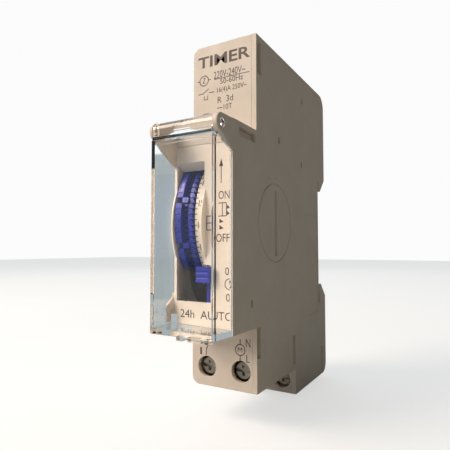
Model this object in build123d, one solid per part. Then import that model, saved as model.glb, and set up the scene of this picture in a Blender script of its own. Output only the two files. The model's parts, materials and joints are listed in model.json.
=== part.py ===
from build123d import *
import math
import os

# A 24 hour time switch one module wide, for a 35 mm rail. Millimetres. +X is across the
# module, +Y points back to the rail and +Z is up. The origin is the centre of the rail seat.

# Case
WIDTH = 17.5
HALF = WIDTH / 2
WALL = 1.2
GAP = 0.05
BACK = 6.5
SHOULDER = -44.0
PLATE_FRONT = -52.0
PLATE_THICK = 0.8
PLATE_BACK = PLATE_FRONT + PLATE_THICK
RIM_FRONT = -55.1
COVER_FRONT = -61.3
REAR_STEP = -20.3
TOP = 46.6
BLOCK_TOP = 23.6
BLOCK_BOTTOM = -21.4
LOWER = -36.2
REAR_LOWER = -43.0
SKIN_X = -HALF + WALL
TUB_RIGHT = HALF - WALL - GAP
PLATE_TOP = 19.6

# Rail recess for a 35 mm rail whose flanges are 1 mm thick
SLOT_HALF = 17.75
SLOT_DEEP = 1.3
HOOK_TIP = 14.75
LAND_HALF = 14.5
LAND_PROUD = 0.1
HOOK_MOUTH = 18.85
HOOK_FLAT = 2.2
LOWER_SLOT = -20.6

# Cover hinge
HINGE_Y = -59.2
HINGE_Z = 21.55
NOSE_R = BLOCK_TOP - HINGE_Z
STUB_R = 0.9
LUG_FOOT_Z = 16.8

# Dial
DIAL_Y = -33.2
DIAL_Z = 2.82
TRIPPERS = 96
PITCH_DEG = 360 / TRIPPERS
HEAD_R = 20.0
HEAD_UNDER_R = 18.72
GROOVE_R = 18.3
SCALE_R = 19.0
DRUM_R = 15.5
HEAD_LEFT = -7.1
HEAD_LONG = 1.6
TRIPPER_TRAVEL = 1.65
TOOTH_LEFT = -3.8
TOOTH_RIGHT = -2.95
TIP_X = -2.4
SINGLE_TRIPPERS = 13
FIRST_SINGLE = 5
PUSHED = (3, -5)
AXLE_R = 1.5
AXLE_CLEARANCE = 0.06

# Gear train: every wheel has 60 teeth and drives a 10 tooth pinion, and the clutch
# pinion of 12 teeth drives the 72 tooth dial gear.
MODULE = 0.3
WHEEL_TEETH = 60
PINION_TEETH = 10
DIAL_MODULE = 0.4
DIAL_TEETH = 72
CLUTCH_TEETH = 12
BACKLASH = 0.12
ARBOR_R = 0.5
TRAIN_STEP = MODULE * (WHEEL_TEETH + PINION_TEETH) / 2
DIAL_STEP = DIAL_MODULE * (DIAL_TEETH + CLUTCH_TEETH) / 2
PLATE_X = (6.2, 7.2)

# Terminals
TERMINAL_X = 4.6
FRONT_TERMINAL_Z = -31.75
REAR_TERMINAL_Z = -39.35
SCREW_HOLE_R = 2.5
WIRE_HOLE_R = 1.9
SHANK_R = 1.5

# Manual switch and lever
SWITCH_Z = (-11.05, -7.6)
LEVER_Y = -46.5
LEVER_Z = -18.0


def block(x, y, z):
    """Box between three (low, high) pairs."""
    size = [pair[1] - pair[0] for pair in (x, y, z)]
    middle = [(pair[1] + pair[0]) / 2 for pair in (x, y, z)]
    return Pos(*middle) * Box(*size)


def prism_x(points, x):
    """Prism along X on an outline of (y, z) points."""
    face = make_face(Polyline(*points, close=True))
    return extrude(Plane.YZ.offset(x[0]) * face, x[1] - x[0])


def prism_y(points, y):
    """Prism along Y on an outline of (x, z) points."""
    face = make_face(Polyline(*points, close=True))
    return extrude(Plane.XZ.offset(-y[1]) * face, y[1] - y[0])


def prism_z(points, z):
    """Prism along Z on an outline of (x, y) points."""
    face = make_face(Polyline(*points, close=True))
    return extrude(Plane.XY.offset(z[0]) * face, z[1] - z[0])


def rod_x(y, z, radius, x):
    return extrude(Plane.YZ.offset(x[0]) * Pos(y, z) * Circle(radius), x[1] - x[0])


def rod_y(x, z, radius, y):
    return Pos(x, (y[0] + y[1]) / 2, z) * Rot(90, 0, 0) * Cylinder(radius, y[1] - y[0])


def rod_z(x, y, radius, z):
    return Pos(x, y, (z[0] + z[1]) / 2) * Cylinder(radius, z[1] - z[0])


def tube_x(y, z, outer, inner, x):
    return rod_x(y, z, outer, x) - rod_x(y, z, inner, x)


def ring_face(outer, inner):
    return Circle(outer) - Circle(inner)


def on_dial(shape, degrees):
    """Turns a shape made at the dial's front point about the dial's axis, upwards."""
    axis = Axis((0, DIAL_Y, DIAL_Z), (1, 0, 0))
    return shape.rotate(axis, -degrees)


def write(shape, name):
    export_step(shape, f"parts/{name}.step")


# Case ---------------------------------------------------------------------------------


def tangent_point(corner):
    """Where a line from a (y, z) corner below touches the hinge nose in front."""
    away_y = corner[0] - HINGE_Y
    away_z = corner[1] - HINGE_Z
    distance = math.hypot(away_y, away_z)
    angle = math.atan2(away_z, away_y) - math.acos(NOSE_R / distance)
    return (HINGE_Y + NOSE_R * math.cos(angle), HINGE_Z + NOSE_R * math.sin(angle))


def hinge_lug(x, corner):
    """Lug that carries the cover: a round nose on a web with a slanted lower edge."""
    web = [
        (HINGE_Y, BLOCK_TOP),
        (PLATE_BACK, BLOCK_TOP),
        (PLATE_BACK, corner[1]),
        corner,
        tangent_point(corner),
        (HINGE_Y, HINGE_Z),
    ]
    return prism_x(web, x) + rod_x(HINGE_Y, HINGE_Z, NOSE_R, x)


def case_outline(front):
    """Side view of the case, with its block reaching forward to the given depth."""
    return [
        (SHOULDER, TOP),
        (BACK, TOP),
        (BACK, HOOK_MOUTH),
        (HOOK_FLAT, HOOK_TIP),
        (SLOT_DEEP, HOOK_TIP),
        (SLOT_DEEP, SLOT_HALF),
        (-LAND_PROUD, SLOT_HALF),
        (-LAND_PROUD, LAND_HALF),
        (0, LAND_HALF),
        (0, -LAND_HALF),
        (-LAND_PROUD, -LAND_HALF),
        (-LAND_PROUD, LOWER_SLOT),
        (SLOT_DEEP, LOWER_SLOT),
        (SLOT_DEEP, -HOOK_TIP),
        (HOOK_FLAT, -HOOK_TIP),
        (BACK, -HOOK_MOUTH),
        (BACK, REAR_LOWER),
        (REAR_STEP, REAR_LOWER),
        (REAR_STEP, LOWER),
        (SHOULDER, LOWER),
        (SHOULDER, BLOCK_BOTTOM),
        (front, BLOCK_BOTTOM),
        (front, BLOCK_TOP),
        (SHOULDER, BLOCK_TOP),
    ]


SIDE_ROUND = 2.0
REAR_ROUNDS = {TOP: 4.0, REAR_LOWER: 3.0}
INNER = (SKIN_X, HALF)
SNAP_WINDOWS = {
    "upper_front": ((-43.3, -41.3), (37.3, 45.1)),
    "cover_root": ((-52.3, -44.5), (20.5, 22.4)),
    "lower_front": ((-43.9, -42.1), (-28.5, -21.4)),
    "rear_step": ((-22.1, -20.4), (-34.8, -27.0)),
    "foot": ((2.05, 3.0), (-42.1, -34.6)),
}
HOOK_SINK = 0.9
HOOK_INSET = 0.2
LATCH_HALF = 5.0
CHANNEL_SLACK = 0.2
CHANNEL_Y = (1.0, 5.8)
STRAP_Z = (-40.0, -24.0)
PEG_Z = (-39.5, -37.6)
SPRING_HALF = 1.5
BOSS_PROUD = 0.25
PARTITION_HALF = 0.5
FRONT_PARTITION = (-28.0, -27.5)
REAR_PARTITION_BACK = -4.0


def round_back(shape):
    """Rounds the upper and lower rear corners of the case."""
    for level, radius in REAR_ROUNDS.items():
        edges = [
            edge
            for edge in shape.edges().filter_by(Axis.X)
            if abs(edge.center().Y - BACK) < GAP and abs(edge.center().Z - level) < GAP
        ]
        shape = fillet(edges, radius)
    return shape


def round_left(shape):
    """Rounds the left edges that run front to back along the top and the two bottoms."""
    levels = (TOP, LOWER, REAR_LOWER)
    edges = [
        edge
        for edge in shape.edges().filter_by(Axis.Y)
        if abs(edge.center().X + HALF) < GAP
        and any(abs(edge.center().Z - level) < GAP for level in levels)
    ]
    return fillet(edges, SIDE_ROUND)


def terminal_places():
    """(name, x, front plane, z) of the four terminals."""
    return [
        ("front_left", -TERMINAL_X, SHOULDER, FRONT_TERMINAL_Z),
        ("front_right", TERMINAL_X, SHOULDER, FRONT_TERMINAL_Z),
        ("rear_left", -TERMINAL_X, REAR_STEP, REAR_TERMINAL_Z),
        ("rear_right", TERMINAL_X, REAR_STEP, REAR_TERMINAL_Z),
    ]


def case_cavities():
    """The hollows inside the tub, all open to the right."""
    return [
        block(INNER, (SHOULDER + WALL, -WALL), (LOWER + WALL, TOP - WALL)),
        block(INNER, (PLATE_BACK, SHOULDER + WALL), (BLOCK_BOTTOM + WALL, BLOCK_TOP - WALL)),
        block(INNER, (-WALL, BACK - WALL), (HOOK_MOUTH + WALL, TOP - WALL)),
        block(INNER, (REAR_STEP + WALL, -WALL), (REAR_LOWER + WALL, LOWER + WALL)),
    ]


def terminal_openings():
    """Screwdriver holes in the steps and wire holes in the two bottoms."""
    holes = []
    for _, x, front, z in terminal_places():
        holes.append(rod_y(x, z, SCREW_HOLE_R, (front - WALL, front + 2 * WALL)))
        bottom = LOWER if front == SHOULDER else REAR_LOWER
        wire_y = front + WIRE_FROM_FRONT
        holes.append(rod_z(x, wire_y, WIRE_HOLE_R, (bottom - WALL, bottom + 2 * WALL)))
    return holes


def latch_channel():
    """Guide for the rail latch behind the seat wall, closed by a strap at the back."""
    half = LATCH_HALF + CHANNEL_SLACK
    sides = (-half, half)
    top = WALL - HOOK_TIP
    channel = block(sides, CHANNEL_Y, (REAR_LOWER - WALL, top))
    above = block(sides, (CHANNEL_Y[1], BACK + WALL), (STRAP_Z[1], top))
    below = block(sides, (CHANNEL_Y[1], BACK + WALL), (REAR_LOWER - WALL, STRAP_Z[0]))
    return channel + above + below


LEFT_FOOT = (-52.0, 14.9)
LEFT_LUG_ROUND = 0.9
RIGHT_LUG_ROUND = 0.3
LOW_LUG = [(-52.0, -14.6), (-54.8, -16.6), (-54.8, -20.0), (-52.0, -20.0)]
LOW_LUG_X = (-HALF, -HALF + 0.5)
NOTCH_WIDE = ((-HALF - 1, -6.9), (-53.0, -49.6), (-22.0, -20.0))
NOTCH_NECK = ((-HALF - 1, -7.3), (-53.0, -49.6), (-20.0, -18.4))
PLATE_X_SPAN = (-8.3, 8.2)


def rounded_lug(x, corner, outer_x, radius):
    """Hinge lug with its outer edge rounded in front of the plate."""
    lug = hinge_lug(x, corner)
    edges = [
        edge
        for edge in lug.edges()
        if abs(edge.center().X - outer_x) < GAP
        and abs(edge.bounding_box().size.X) < GAP
        and edge.center().Y < PLATE_BACK - WALL
    ]
    return fillet(edges, radius)


def case_tub():
    """Left side, outer walls and steps in one moulding, open to the right."""
    tub = prism_x(case_outline(PLATE_FRONT), (-HALF, TUB_RIGHT))
    tub = round_back(tub)
    tub = round_left(tub)
    for cavity in case_cavities():
        tub -= cavity
    tub += rounded_lug((-HALF, SKIN_X), LEFT_FOOT, -HALF, LEFT_LUG_ROUND)
    plate_x = (PLATE_X_SPAN[0], HALF)
    tub -= block(plate_x, (PLATE_FRONT, PLATE_BACK), (BLOCK_BOTTOM, PLATE_TOP + 2 * GAP))
    tub += prism_x(LOW_LUG, LOW_LUG_X)
    tub -= rod_x(HINGE_Y, HINGE_Z, STUB_R + GAP, (-HALF - WALL, SKIN_X + WALL))
    for hole in terminal_openings():
        tub -= hole
    tub -= latch_channel()
    tub -= block(*NOTCH_WIDE)
    tub -= block(*NOTCH_NECK)
    tub += block((-SPRING_HALF + GAP, SPRING_HALF - GAP), (0, CHANNEL_Y[1]), PEG_Z)
    for partition in terminal_partitions():
        tub += partition
    tub += tube_x(DIAL_Y, DIAL_Z, AXLE_R + WALL, AXLE_R, (SKIN_X - GAP, SKIN_X + BOSS_PROUD))
    for span_y, span_z in SNAP_WINDOWS.values():
        tub += snap_hook(span_y, span_z)
    tub += rear_hook_stalk()
    return tub


def snap_hook(span_y, span_z):
    """Tongue on the tub's right edge that fills a window of the side cover."""
    y = (span_y[0] + HOOK_INSET, span_y[1] - HOOK_INSET)
    z = (span_z[0] + HOOK_INSET, span_z[1] - HOOK_INSET)
    return block((TUB_RIGHT - WALL, HALF - HOOK_SINK), y, z)


def rear_hook_stalk():
    """Stands the rear step's tongue on the bottom of the case."""
    span_y, span_z = SNAP_WINDOWS["rear_step"]
    y = (span_y[0] + HOOK_INSET, span_y[1] - HOOK_INSET)
    return block((TUB_RIGHT - WALL, TUB_RIGHT), y, (LOWER + HOOK_INSET, span_z[1] - HOOK_INSET))


def terminal_partitions():
    """Walls between the two terminals of each step."""
    x = (-PARTITION_HALF, PARTITION_HALF)
    front_y = (SHOULDER + WALL, FRONT_PARTITION[0])
    front = block(x, front_y, (LOWER + WALL, FRONT_PARTITION[1]))
    rear_y = (REAR_STEP + WALL, REAR_PARTITION_BACK)
    rear = block(x, rear_y, (REAR_LOWER + WALL, LOWER + WALL))
    return [front, rear]


RIM_THIN = 0.5
PIN_HOLES = [(-13.7, 39.5), (-30.9, 24.2), (-14.6, 20.6), (-46.4, -15.8)]
PIN_HOLE_SIZE = (0.95, 2.0)
DIMPLES = [(-37.1, 13.4), (-32.8, 14.15)]
GROOVE_WIDE = 0.35
GROOVE_DEEP = 0.3
DISC_R = 9.54
DISC_SLOT = ((-33.6, -32.4), (-5.45, 10.85))
DIMPLE_R = 0.3
SINK_Y = (-21.5, -0.6)
SINK_Z = (-23.15, 6.65)
SINK_DEEP = 0.2
BEHIND_RIM = ((RIM_FRONT - 9.0, PLATE_BACK), (-30.0, LUG_FOOT_Z))
RIM_REBATE = ((RIM_FRONT + 0.4, PLATE_BACK), (0.0, 19.7))


def side_cover():
    """Flat right side: closes the tub, and its thin rim stands in front of the plate."""
    x = (HALF - WALL, HALF)
    cover = prism_x(case_outline(RIM_FRONT), x)
    cover = round_back(cover)
    cover += rounded_lug(x, (RIM_FRONT, LUG_FOOT_Z), HALF, RIGHT_LUG_ROUND)
    cover -= block((x[0] - WALL, HALF - RIM_THIN), *BEHIND_RIM)
    cover -= block((x[0] - WALL, HALF - RIM_THIN), *RIM_REBATE)
    cover -= rod_x(HINGE_Y, HINGE_Z, STUB_R + GAP, (x[0] - WALL, HALF + WALL))
    for span_y, span_z in SNAP_WINDOWS.values():
        cover -= block((x[0] - WALL, HALF + WALL), span_y, span_z)
    for y, z in PIN_HOLES:
        oval = Pos(y, z) * SlotOverall(PIN_HOLE_SIZE[1], PIN_HOLE_SIZE[0], 90)
        cover -= extrude(Plane.YZ.offset(x[0] - WALL) * oval, 3 * WALL)
    for y, z in DIMPLES:
        cover -= rod_x(y, z, DIMPLE_R, (HALF - GROOVE_DEEP, HALF + WALL))
    sink = [(HALF, SINK_Y[0]), (HALF + WALL, SINK_Y[0]), (HALF + WALL, SINK_Y[1])]
    cover -= prism_z([*sink, (HALF - SINK_DEEP, SINK_Y[1])], SINK_Z)
    cover -= tube_x(DIAL_Y, DIAL_Z, DISC_R + GROOVE_WIDE, DISC_R, (HALF - GROOVE_DEEP, HALF + WALL))
    cover -= block((HALF - 2 * GROOVE_DEEP, HALF + WALL), *DISC_SLOT)
    return cover


WINDOW_X = (-7.4, 0.05)
WINDOW_Z = (-15.45, 15.85)
SWITCH_BAY = ((0.0, 1.75), (-15.45, -7.2))
REVEAL = [(-52.0, 15.85), (-49.8, 14.3), (-49.8, 15.0), (-51.2, 16.6), (-52.0, 16.6)]
PLATE_BOTTOM = -21.3
GUARD_Z = (-6.0, 9.5)
GUARD_BULGE = 1.7
GUARD_THICK = 0.35
WINDOW_ROUND = 0.3


def guard_rib(x, deep):
    """Curved rib beside the dial that bulges forward to shield the tripper heads."""
    low, high = GUARD_Z
    middle = (low + high) / 2
    crest = (PLATE_FRONT - GUARD_BULGE, middle)
    arc = ThreePointArc((PLATE_FRONT, low), crest, (PLATE_FRONT, high))
    back = Polyline((PLATE_FRONT, high), (deep, high), (deep, low), (PLATE_FRONT, low))
    return extrude(Plane.YZ.offset(x[0]) * make_face([arc, *back.edges()]), x[1] - x[0])


def round_window(plate):
    """Rounds the corners of the window and of the switch bay beside it."""
    inside = (WINDOW_X[0] - GAP, SWITCH_BAY[0][1] + GAP)
    corners = [
        edge
        for edge in plate.edges().filter_by(Axis.Y)
        if inside[0] < edge.center().X < inside[1] and abs(edge.center().Z) < PLATE_TOP - 1
    ]
    return fillet(corners, WINDOW_ROUND)


def front_plate():
    """Printed face of the timer with the window for the dial and the manual switch."""
    plate = block(PLATE_X_SPAN, (PLATE_FRONT, PLATE_BACK), (PLATE_BOTTOM, PLATE_TOP))
    through = (PLATE_FRONT - WALL, PLATE_BACK + WALL)
    plate -= block(WINDOW_X, through, WINDOW_Z)
    plate -= block(SWITCH_BAY[0], through, SWITCH_BAY[1])
    plate = round_window(plate)
    plate -= block(*NOTCH_WIDE)
    plate -= block(*NOTCH_NECK)
    plate += prism_x(REVEAL, WINDOW_X)
    plate += guard_rib((WINDOW_X[1], WINDOW_X[1] + GUARD_THICK), PLATE_BACK)
    plate += guard_rib((WINDOW_X[0] - GUARD_THICK, WINDOW_X[0]), PLATE_BACK)
    return plate


# Clear cover --------------------------------------------------------------------------

COVER_THICK = 1.1
COVER_SIDE = 0.85
COVER_FRONT_HALF = 8.15
COVER_REAR_HALF = 8.7
COVER_CHAMFER = 0.6
COVER_INNER_CHAMFER = 0.15
COVER_WIDE_Y = -55.6
COVER_TOP = 20.4
COVER_BOTTOM = -21.35
COVER_LEFT_BACK = PLATE_FRONT - 0.1
COVER_RIGHT_BACK = RIM_FRONT - 0.1
BARREL_HALF = 7.45
BARREL_R = 1.95


def cover_section(inset_side, inset_front, corner, back_left, back_right):
    """Plan view of the cover, which widens to the back, moved in, with cut front corners."""
    front = COVER_FRONT + inset_front
    front_half = COVER_FRONT_HALF - inset_side
    rear_half = COVER_REAR_HALF - inset_side
    return [
        (-rear_half, back_left),
        (-rear_half, COVER_WIDE_Y),
        (-front_half, front + corner),
        (corner - front_half, front),
        (front_half - corner, front),
        (front_half, front + corner),
        (rear_half, COVER_WIDE_Y),
        (rear_half, back_right),
    ]


LUG_SLACK = 0.35
LUG_SLACK_Y = 0.4
RELIEF_BACK = 3.0


def diagonal_relief(x, corner):
    """Space above a lug's slanted edge, which the cover's side wall leaves free."""
    start = tangent_point(corner)
    front = COVER_FRONT - 1
    behind = corner[0] + RELIEF_BACK
    return prism_x(
        [
            (front, start[1] - LUG_SLACK),
            (start[0], start[1] - LUG_SLACK),
            (corner[0] + LUG_SLACK_Y, corner[1] - 2 * LUG_SLACK),
            (behind, corner[1] - 2 * LUG_SLACK),
            (behind, BLOCK_TOP + 1),
            (front, BLOCK_TOP + 1),
        ],
        x,
    )


GRIP_BARS = [(-1.3, 0.2), (1.5, 4.6), (5.6, 6.6)]
GRIP_Y = (COVER_FRONT + 0.6, COVER_FRONT + 2.8)
GRIP_Z = (COVER_BOTTOM - 0.9, COVER_BOTTOM + 0.4)
NECK_Y = (COVER_FRONT + 0.25, COVER_FRONT + COVER_THICK + 0.4)
NECK_LOW = 18.6
STUB_SHORT = 0.15


def clear_cover():
    """Transparent hinged cover: front, two sides, bottom and a hinge barrel with stubs."""
    outline = cover_section(0, 0, COVER_CHAMFER, COVER_LEFT_BACK, COVER_RIGHT_BACK)
    behind = (COVER_LEFT_BACK + 1, COVER_RIGHT_BACK + 4)
    hollow = cover_section(COVER_SIDE, COVER_THICK, COVER_INNER_CHAMFER, *behind)
    cover = prism_z(outline, (COVER_BOTTOM, COVER_TOP))
    cover -= prism_z(hollow, (COVER_BOTTOM + COVER_THICK, COVER_TOP + 1))
    cover -= diagonal_relief((-HALF - 1, -BARREL_HALF), LEFT_FOOT)
    cover -= diagonal_relief((BARREL_HALF, HALF + 1), (RIM_FRONT, LUG_FOOT_Z))
    lug_y = [point[0] for point in LOW_LUG]
    lug_z = [point[1] for point in LOW_LUG]
    beside_lug = (min(lug_y) - LUG_SLACK, max(lug_y) + 1)
    over_lug = (min(lug_z) - LUG_SLACK, max(lug_z) + 1)
    cover -= block((-HALF - 1, LOW_LUG_X[1] + LUG_SLACK), beside_lug, over_lug)
    cover += rod_x(HINGE_Y, HINGE_Z, BARREL_R, (-BARREL_HALF, BARREL_HALF))
    cover += block((-BARREL_HALF, BARREL_HALF), NECK_Y, (NECK_LOW, HINGE_Z))
    for side in (-1, 1):
        ends = sorted((side * (BARREL_HALF - 1), side * (HALF - STUB_SHORT)))
        cover += rod_x(HINGE_Y, HINGE_Z, STUB_R, tuple(ends))
    for x in GRIP_BARS:
        cover += block(x, GRIP_Y, GRIP_Z)
    return cover


# Dial ---------------------------------------------------------------------------------


def sector_x(inner, outer, half_deg, x, centre_deg=0.0):
    """Sector of a ring about the dial's axis; angle 0 faces the front, up is positive."""
    points = []
    steps = ((outer, -1), (outer, 0), (outer, 1), (inner, 1), (inner, -1))
    for radius, side in steps:
        angle = math.radians(centre_deg + side * half_deg)
        points.append((DIAL_Y - radius * math.cos(angle), DIAL_Z + radius * math.sin(angle)))
    return prism_x(points, x)


def polar(radius, degrees):
    """(y, z) of a point on the dial; angle 0 faces the front and up is positive."""
    angle = math.radians(degrees)
    return (DIAL_Y - radius * math.cos(angle), DIAL_Z + radius * math.sin(angle))


TOOTH_R = 19.5
TOOTH_HALF_DEG = 1.6
FOOT_HALF = 0.2
SLOT_HALF_WIDE = 0.25
FOOT_R = 17.4
SLOT_R = 17.3
HEAD_HALF_DEG = 1.72
RIM_X = (-2.35, -0.25)
UNDER_TIPS_R = 17.9
UNDER_TIPS_X = (TOOTH_RIGHT + GAP, RIM_X[0])
WEB_X = (-0.9, 0.35)
DIAL_GEAR_X = (1.0, 2.2)
HUB_R = 3.2
HUB_X = (-6.9, 2.2)
DRUM_WALL = 1.4
WEB_HOLE_R = 3.0
WEB_HOLE_AT = 9.0
ROOT_SPREAD_DEG = 0.15


def tripper_angle(index):
    return (index + 0.5) * PITCH_DEG


def carrier_floor():
    """Outline of the carrier where the trippers slide: a ring with keyed slots."""
    points = []
    for index in range(TRIPPERS):
        middle = tripper_angle(index)
        slot_deg = math.degrees(SLOT_HALF_WIDE / GROOVE_R)
        base_deg = math.degrees(SLOT_HALF_WIDE / SLOT_R)
        points += [
            polar(GROOVE_R, middle - PITCH_DEG / 2),
            polar(GROOVE_R, middle - slot_deg),
            polar(SLOT_R, middle - base_deg),
            polar(SLOT_R, middle + base_deg),
            polar(GROOVE_R, middle + slot_deg),
        ]
    return points


def carrier_teeth():
    """Outline of the carrier where a pointed tooth stands behind each tripper."""
    points = []
    for index in range(TRIPPERS):
        middle = tripper_angle(index)
        points += [
            polar(GROOVE_R, middle - TOOTH_HALF_DEG - ROOT_SPREAD_DEG),
            polar(TOOTH_R, middle - TOOTH_HALF_DEG),
            polar(TOOTH_R, middle + TOOTH_HALF_DEG),
            polar(GROOVE_R, middle + TOOTH_HALF_DEG + ROOT_SPREAD_DEG),
        ]
    return points


def tooth_tip():
    """Pointed end of one tooth at angle 0: its tip is on the lower side, at the mark."""
    width = math.radians(TOOTH_HALF_DEG) * TOOTH_R
    front = DIAL_Y - TOOTH_R
    low = DIAL_Z - width
    high = DIAL_Z + width
    root_x = TOOTH_RIGHT - 2 * GAP
    outline = [(root_x, low), (root_x, high), (TOOTH_RIGHT, high), (TIP_X, low)]
    return prism_y(outline, (front + GAP, DIAL_Y - GROOVE_R + 6 * GAP))


def tripper_carrier():
    """Blue ring on the dial with a slot and a pointed tooth for each tripper."""
    core = rod_x(DIAL_Y, DIAL_Z, DRUM_R + GAP, (HEAD_LEFT - 1, 0))
    floor = prism_x(carrier_floor(), (HEAD_LEFT - GAP, TOOTH_LEFT))
    teeth = prism_x(carrier_teeth(), (TOOTH_LEFT, TOOTH_RIGHT))
    tip = tooth_tip()
    tips = [on_dial(tip, tripper_angle(index)) for index in range(TRIPPERS)]
    ring = floor + teeth
    ring = ring.fuse(*tips)
    return ring - core


def tripper(index):
    """One sliding tripper: a broad head on a narrow foot."""
    shift = TRIPPER_TRAVEL if index in PUSHED else 0.0
    head_x = (HEAD_LEFT + shift, HEAD_LEFT + HEAD_LONG + shift)
    head = sector_x(HEAD_UNDER_R, HEAD_R, HEAD_HALF_DEG, head_x)
    foot_y = (DIAL_Y - HEAD_UNDER_R - 2 * GAP, DIAL_Y - FOOT_R)
    foot_z = (DIAL_Z - FOOT_HALF, DIAL_Z + FOOT_HALF)
    foot = block((head_x[0], head_x[1] - 2 * GAP), foot_y, foot_z)
    return on_dial(head + foot, tripper_angle(index))


PRESSURE_DEG = 20
FLANK_STEPS = (-1.25, -0.4, 0.3, 0.9)


def gear_points(teeth, module, centre, tooth_deg):
    """Involute gear outline about a (y, z) centre, with a tooth at the given direction."""
    pitch_r = module * teeth / 2
    base_r = pitch_r * math.cos(math.radians(PRESSURE_DEG))
    radii = [pitch_r + step * module for step in FLANK_STEPS]
    half_pitch = (math.pi / 2 - BACKLASH) / teeth

    def half_angle(radius):
        def roll(r):
            angle = math.acos(min(1.0, base_r / r))
            return math.tan(angle) - angle

        return half_pitch + roll(pitch_r) - roll(max(radius, base_r))

    points = []
    for tooth in range(teeth):
        middle = math.radians(tooth_deg) + 2 * math.pi * tooth / teeth
        flank = [(radius, half_angle(radius)) for radius in radii]
        for radius, half in flank:
            points.append((radius, middle - half))
        for radius, half in reversed(flank):
            points.append((radius, middle + half))
    return [(centre[0] + r * math.cos(a), centre[1] + r * math.sin(a)) for r, a in points]


def gear(teeth, module, centre, tooth_deg, x):
    return prism_x(gear_points(teeth, module, centre, tooth_deg), x)


def step_from(centre, distance, degrees):
    angle = math.radians(degrees)
    return (centre[0] + distance * math.cos(angle), centre[1] + distance * math.sin(angle))


CLUTCH_DEG = -20
DIAL_AXIS = (DIAL_Y, DIAL_Z)
CLUTCH = step_from(DIAL_AXIS, DIAL_STEP, CLUTCH_DEG)
THIRD_DEG = 60
THIRD = step_from(CLUTCH, TRAIN_STEP, THIRD_DEG)
SECOND_DEG = 120
SECOND = step_from(THIRD, TRAIN_STEP, SECOND_DEG)
FIRST_DEG = 60
FIRST = step_from(SECOND, TRAIN_STEP, FIRST_DEG)
ROTOR_DEG = 90
ROTOR = step_from(FIRST, TRAIN_STEP, ROTOR_DEG)
HALF_PINION_PITCH = 180 / PINION_TEETH


def dial_wheel():
    """White dial: hub, web, drum, scale rim and the gear that drives it."""
    drum = tube_x(DIAL_Y, DIAL_Z, DRUM_R, DRUM_R - DRUM_WALL, (HEAD_LEFT, WEB_X[1]))
    rim = tube_x(DIAL_Y, DIAL_Z, SCALE_R, DRUM_R - DRUM_WALL, RIM_X)
    rim += tube_x(DIAL_Y, DIAL_Z, UNDER_TIPS_R, DRUM_R - DRUM_WALL, UNDER_TIPS_X)
    web = rod_x(DIAL_Y, DIAL_Z, DRUM_R, WEB_X)
    hub = rod_x(DIAL_Y, DIAL_Z, HUB_R, HUB_X)
    ring = gear(DIAL_TEETH, DIAL_MODULE, DIAL_AXIS, CLUTCH_DEG, DIAL_GEAR_X)
    wheel = drum + rim + web + hub + ring
    wheel -= rod_x(DIAL_Y, DIAL_Z, AXLE_R + AXLE_CLEARANCE, (-HALF, HALF))
    for turn in range(4):
        hole_y, hole_z = polar(WEB_HOLE_AT, 45 + 90 * turn)
        wheel -= rod_x(hole_y, hole_z, WEB_HOLE_R, (-HALF, HALF))
    return wheel


def train_wheel(centre, wheel_deg, pinion_deg, wheel_x, pinion_x):
    """A wheel and pinion on one sleeve. Its pinion turns the slower wheel next to it."""
    wheel = gear(WHEEL_TEETH, MODULE, centre, wheel_deg, wheel_x)
    pinion = gear(PINION_TEETH, MODULE, centre, pinion_deg + HALF_PINION_PITCH, pinion_x)
    sleeve_x = (min(wheel_x[0], pinion_x[0]), max(wheel_x[1], pinion_x[1]))
    sleeve = rod_x(*centre, 1.0, sleeve_x)
    bore = rod_x(*centre, ARBOR_R + GAP, (sleeve_x[0] - 1, sleeve_x[1] + 1))
    return wheel + pinion + sleeve - bore


CLUTCH_WHEEL_X = (2.6, 3.3)
THIRD_WHEEL_X = (3.7, 4.4)
SECOND_WHEEL_X = (4.9, 5.6)
FIRST_WHEEL_X = (2.6, 3.3)
CLUTCH_PINION_X = (0.9, 2.3)
CLUTCH_BUSH_X = (2.3, 3.5)
CLUTCH_FLANGE_X = (3.4, 3.6)
CLUTCH_FLANGE_R = 2.3
CLUTCH_BUSH_R = 1.55
CLUTCH_BORE_R = 1.6
MAGNET_R = 3.0
MAGNET_X = (-3.4, 2.2)
ROTOR_PINION_X = (2.4, 3.5)
ROTOR_SLEEVE_X = (-3.6, 2.4)
ROTOR_SLEEVE_R = 0.9
ARBOR_STARTS = ((CLUTCH, 0.8), (THIRD, 2.4), (SECOND, 3.5), (FIRST, 2.4), (ROTOR, -4.0))
MOVEMENT_OUTLINE = [
    (-50.0, -12.0),
    (-50.0, 19.5),
    (-42.0, 20.5),
    (-42.0, 30.0),
    (-30.0, 42.5),
    (-4.0, 42.5),
    (-4.0, -14.0),
    (-40.0, -14.0),
]
FIXING_HOLES = ((-46.0, 15.0), (-9.0, -9.0), (-27.0, 24.0), (-40.0, -8.0))
FIXING_R = 1.6
ACROSS = (-HALF, HALF)


def clutch_wheel():
    """Wheel of the slip clutch, driven by the train and gripped by the clutch pinion."""
    wheel = gear(WHEEL_TEETH, MODULE, CLUTCH, THIRD_DEG, CLUTCH_WHEEL_X)
    return wheel - rod_x(*CLUTCH, CLUTCH_BORE_R, ACROSS)


def clutch_pinion():
    """Pinion that turns the dial, with the bush that the clutch wheel slips on."""
    gap_deg = CLUTCH_DEG + 180 + 180 / CLUTCH_TEETH
    pinion = gear(CLUTCH_TEETH, DIAL_MODULE, CLUTCH, gap_deg, CLUTCH_PINION_X)
    bush = rod_x(*CLUTCH, CLUTCH_BUSH_R, CLUTCH_BUSH_X)
    flange = rod_x(*CLUTCH, CLUTCH_FLANGE_R, CLUTCH_FLANGE_X)
    return pinion + bush + flange - rod_x(*CLUTCH, ARBOR_R + GAP, ACROSS)


def rotor_magnet():
    return tube_x(*ROTOR, MAGNET_R, ROTOR_SLEEVE_R, MAGNET_X)


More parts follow.
